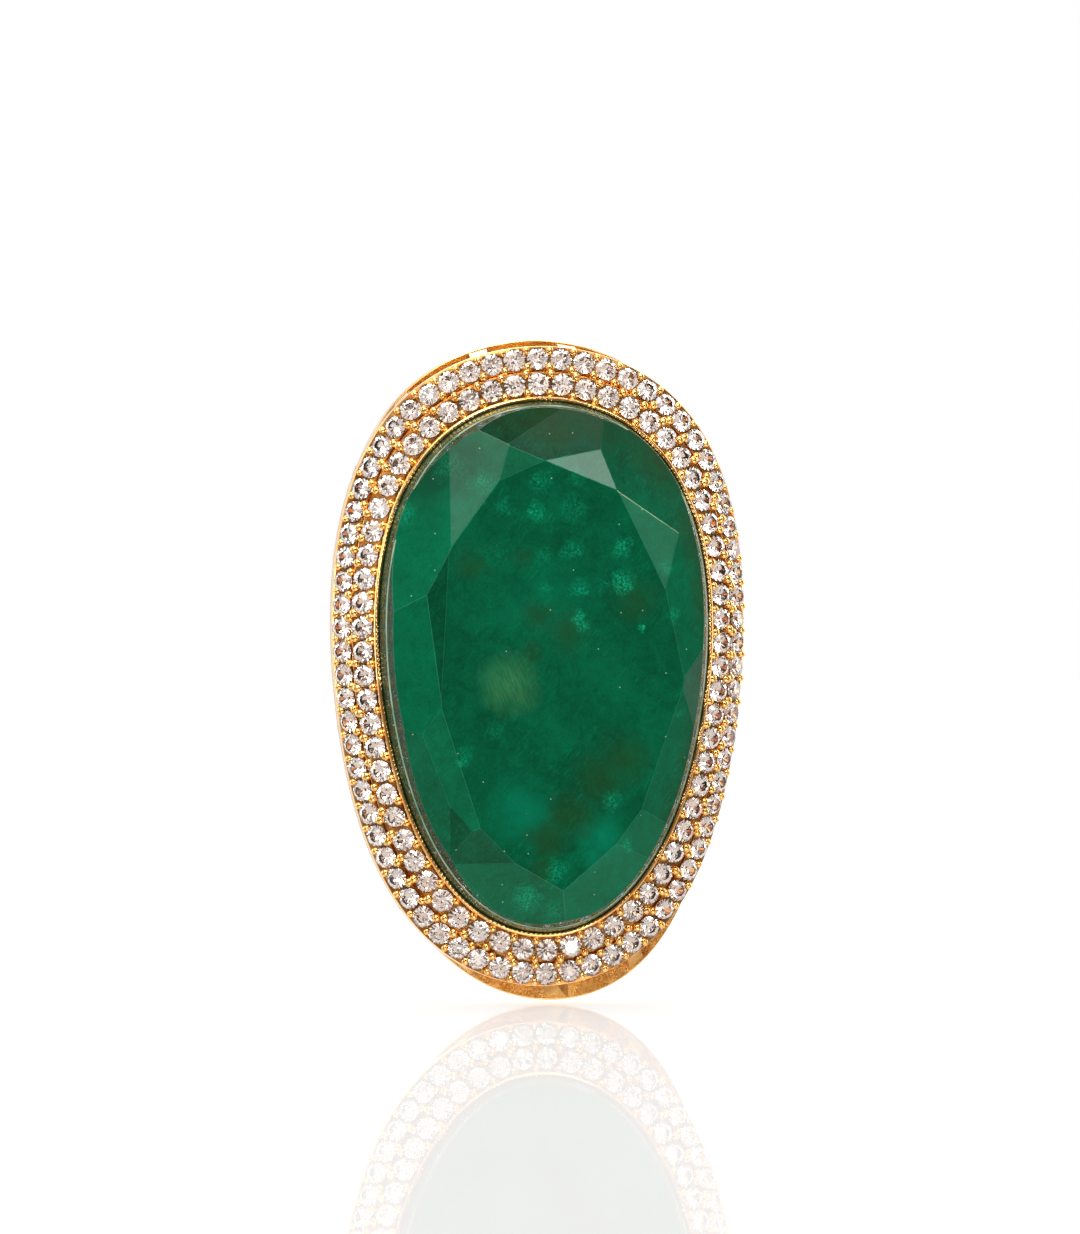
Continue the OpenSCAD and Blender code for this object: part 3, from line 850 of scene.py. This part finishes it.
def shank():
    """A half-round band with eased inner edges."""
    half = BAND_WIDTH / 2
    radius = (half * half + BAND_CROWN * BAND_CROWN) / (2 * BAND_CROWN)
    arc = math.degrees(math.asin(half / radius))
    profile = [(BAND_RADIUS - radius + radius * cosd(a), radius * sind(a))
               for a in (arc * k / 12 for k in range(-12, 13))]
    edge = [(BORE_RADIUS + 0.12, half), (BORE_RADIUS + 0.03, half - 0.05),
            (BORE_RADIUS, half - 0.2)]
    profile += edge + [(r, -z) for r, z in reversed(edge)]
    sections = [[Vector((r * cosd(a), r * sind(a), z)) * MM for r, z in profile]
                for a in (1.5 * i for i in range(240))]
    add_piece("band", swept_ring(sections), polished_gold, ["shank"], 40)


# [distance from the bore's axis, height, half the width along Z, half the thickness]
SHOULDER_SECTIONS = [
    (9.3, -1.2, 1.1, 0.3), (9.55, 0.8, 1.6, 0.45), (9.7, 2.5, 1.9, 0.55), (9.85, 4.5, 2.4, 0.6),
    (10.05, 6.2, 3.1, 0.6), (10.2, 7.7, 4.0, 0.55), (10.25, 8.8, 5.0, 0.5)]


def blended(rows, position):
    """A smooth value between rows of numbers, by a Catmull-Rom curve."""
    i = min(int(position), len(rows) - 2)
    s = position - i
    a, b, c, d = (rows[max(0, min(len(rows) - 1, i + k))] for k in (-1, 0, 1, 2))
    return [0.5 * (2 * q + (r - p) * s + (2 * p - 5 * q + 4 * r - u) * s * s
                   + (3 * q - p - 3 * r + u) * s ** 3) for p, q, r, u in zip(a, b, c, d)]


def shoulders():
    for side, name in ((-1, "left_shoulder"), (1, "right_shoulder")):
        levels = []
        for step in range(31):
            place = step / 30 * (len(SHOULDER_SECTIONS) - 1)
            distance, height, half, thick = blended(SHOULDER_SECTIONS, place)
            corners = [(-thick, -half), (-thick, half), (thick, half), (thick, -half)]
            profile = rounded(corners, 0.3, 4)
            levels.append([Vector((side * (distance + x), -height, side * z)) * MM
                           for x, z in profile])
        add_piece("fan_" + name, lofted(levels), polished_gold, [name], 40)


rng = random.Random(7)
center_stone()
bezel_collar()
halo_strip(0, "inner_strip", "inner_halo_strip")
halo_strip(1, "outer_strip", "outer_halo_strip")
halo_stones(0, "inner_brilliants", "inner_halo_stones", rng)
halo_stones(1, "outer_brilliants", "outer_halo_stones", rng)
beads(0, "inner_beads", "inner_row_beads", rng)
beads(1, "outer_beads", "outer_row_beads", rng)
gallery_rails()
gallery_posts()
bridges()
shank()
shoulders()
seat = frame["nodes"]["bezel_seat"]
seat.data.materials.clear()
seat.data.materials.append(cast_gold)

# ---------------------------------------------------------------- stage, light and camera

FLOOR_GAP = 0.12
FLOOR_REACH = 3000
ROOM_LIGHT = 0.16
ROOM_COLOUR = (1, 0.72, 0.60, 1)
PANEL_SCALE = 4.5
PANEL_LIGHTS = (0.11, 1.3)
# [azimuth, elevation, size, radiance] of small lights that the facets mirror
GLINTS = [
    (27, 36, 0.10, 9), (-33, 27, 0.15, 2.4), (49, 17, 0.08, 1.2), (30, 57, 0.12, 1.0),
    (-1, 20, 0.12, 0.4), (88, -5, 0.12, 0.9),
    (-28, 5, 0.05, 14), (30, 2, 0.05, 14), (5, -18, 0.05, 8), (-14, -26, 0.05, 9),
    (-48, 12, 0.06, 10), (24, -34, 0.06, 10)]
FLOOR_LIGHT = 2.85
TABLE_LIGHT = 0.5


def floor():
    size = FLOOR_REACH * MM
    ground = bpy.data.meshes.new("floor")
    height = cad_box[0][2] - FLOOR_GAP * MM
    corners = [(x * size, y * size, height) for x, y in ((-1, -1), (1, -1), (1, 1), (-1, 1))]
    ground.from_pydata(corners, [], [(0, 1, 2, 3)])
    ground.materials.append(floor_material())
    piece = bpy.data.objects.new("floor", ground)
    bpy.context.scene.collection.objects.link(piece)
    piece.visible_glossy = False
    piece.visible_shadow = False
    return piece


def light_object(name, kind, group, state):
    """A light that falls only on the objects of a group, or only on the others."""
    light = bpy.data.objects.new(name, bpy.data.lights.new(name, kind))
    bpy.context.scene.collection.objects.link(light)
    light.light_linking.receiver_collection = group
    for row in group.collection_objects:
        row.light_linking.link_state = state
    return light


def softbox(name, ground, azimuth, elevation, size, radiance, colour=(1, 1, 1)):
    """A soft light half a metre away that looks at the ring; azimuth 0 is in front, 90 at +X."""
    distance = 0.5
    group = bpy.data.collections.new("not_on_floor_" + name)
    group.objects.link(ground)
    light = light_object(name, "AREA", group, "EXCLUDE")
    lamp = light.data
    lamp.shape = "RECTANGLE"
    lamp.size, lamp.size_y = size
    lamp.energy = radiance * math.pi * size[0] * size[1]
    lamp.color = colour
    away = Vector((sind(azimuth) * cosd(elevation), -cosd(azimuth) * cosd(elevation),
                   sind(elevation)))
    light.location = away * distance
    light.rotation_euler = away.to_track_quat("Z", "Y").to_euler()
    light.visible_camera = False


def floor_wash(ground):
    """An even overhead light on the floor alone, which keeps it white to the horizon."""
    group = bpy.data.collections.new("only_floor")
    group.objects.link(ground)
    lamp = light_object("floor_wash", "SUN", group, "INCLUDE").data
    lamp.energy = FLOOR_LIGHT
    lamp.angle = math.radians(60)
    lamp.use_shadow = False


def studio_world():
    """White behind the ring, falling to a dim warm room in front of it; the camera sees white.

    Light that comes out of a clear stone sees the room's many small bright panels instead.
    """
    world = bpy.data.worlds.new("studio")
    world.use_nodes = True
    bpy.context.scene.world = world
    n = Tree(world.node_tree)
    seen = n.tree.nodes["Background"]
    n.set(seen, "Color", (1, 1, 1, 1))
    direction = n.add("TexCoord").outputs["Generated"]
    _, depth, height = n.parts(direction)
    behind = n.fit(depth, -1.0, 1.0)
    level = n.fit(n.product(behind, behind), 0.0, 1.0, ROOM_LIGHT, 1.0)
    room = n.sum(level, n.fit(height, -0.12, -0.6, 0.0, TABLE_LIGHT))
    colour = n.mix(n.fit(behind, 0.1, 0.45), ROOM_COLOUR, (1, 0.99, 0.98, 1))
    lighting = n.add("Background", Color=colour, Strength=room)
    panel = n.add("TexNoise", Vector=direction, Scale=PANEL_SCALE, Detail=0).outputs["Fac"]
    lit = n.fit(panel, 0.50, 0.54)
    panels = n.add("Background", Color=n.mix(lit, ROOM_COLOUR, (1, 1, 1, 1)),
                   Strength=n.fit(lit, 0.0, 1.0, *PANEL_LIGHTS))
    path = n.add("LightPath")
    sparkle = n.blend(path.outputs["Is Transmission Ray"], lighting, panels)
    final = n.blend(path.outputs["Is Camera Ray"], sparkle, seen)
    n.tree.links.new(final.outputs[0], n.tree.nodes["World Output"].inputs["Surface"])


def studio(ground):
    studio_world()
    floor_wash(ground)
    softbox("key", ground, -45, 58, (0.3, 0.3), 3.5)
    softbox("front", ground, -10, 46, (0.16, 0.16), 16)
    softbox("top", ground, 180, 68, (0.35, 0.35), 4)
    softbox("right", ground, 112, 20, (0.3, 0.5), 2.3)
    softbox("left_side", ground, -108, 15, (0.3, 0.4), 2.3)
    softbox("back", ground, 165, 40, (0.4, 0.4), 2)
    softbox("low", ground, 12, -42, (0.3, 0.3), 1.7)
    for number, (azimuth, elevation, size, radiance) in enumerate(GLINTS):
        softbox(f"glint_{number}", ground, azimuth, elevation, (size, size), radiance)


def camera():
    """A long lens, a little to the left of the head."""
    distance = 0.6
    azimuth = -8
    frame_height = 69.7 * MM
    aim = Vector((-0.25, -LIP_HEIGHT, 2.82)) * MM
    data = bpy.data.cameras.new("camera")
    data.sensor_fit = "VERTICAL"
    data.sensor_height = 36
    data.lens = data.sensor_height * distance / frame_height
    away = Vector((sind(azimuth), -cosd(azimuth), 0))
    view = bpy.data.objects.new("camera", data)
    view.location = aim + away * distance
    view.rotation_euler = away.to_track_quat("Z", "Y").to_euler()
    bpy.context.scene.collection.objects.link(view)
    bpy.context.scene.camera = view


studio(floor())
camera()
bpy.context.scene.view_settings.view_transform = "Standard"

bpy.context.view_layer.update()
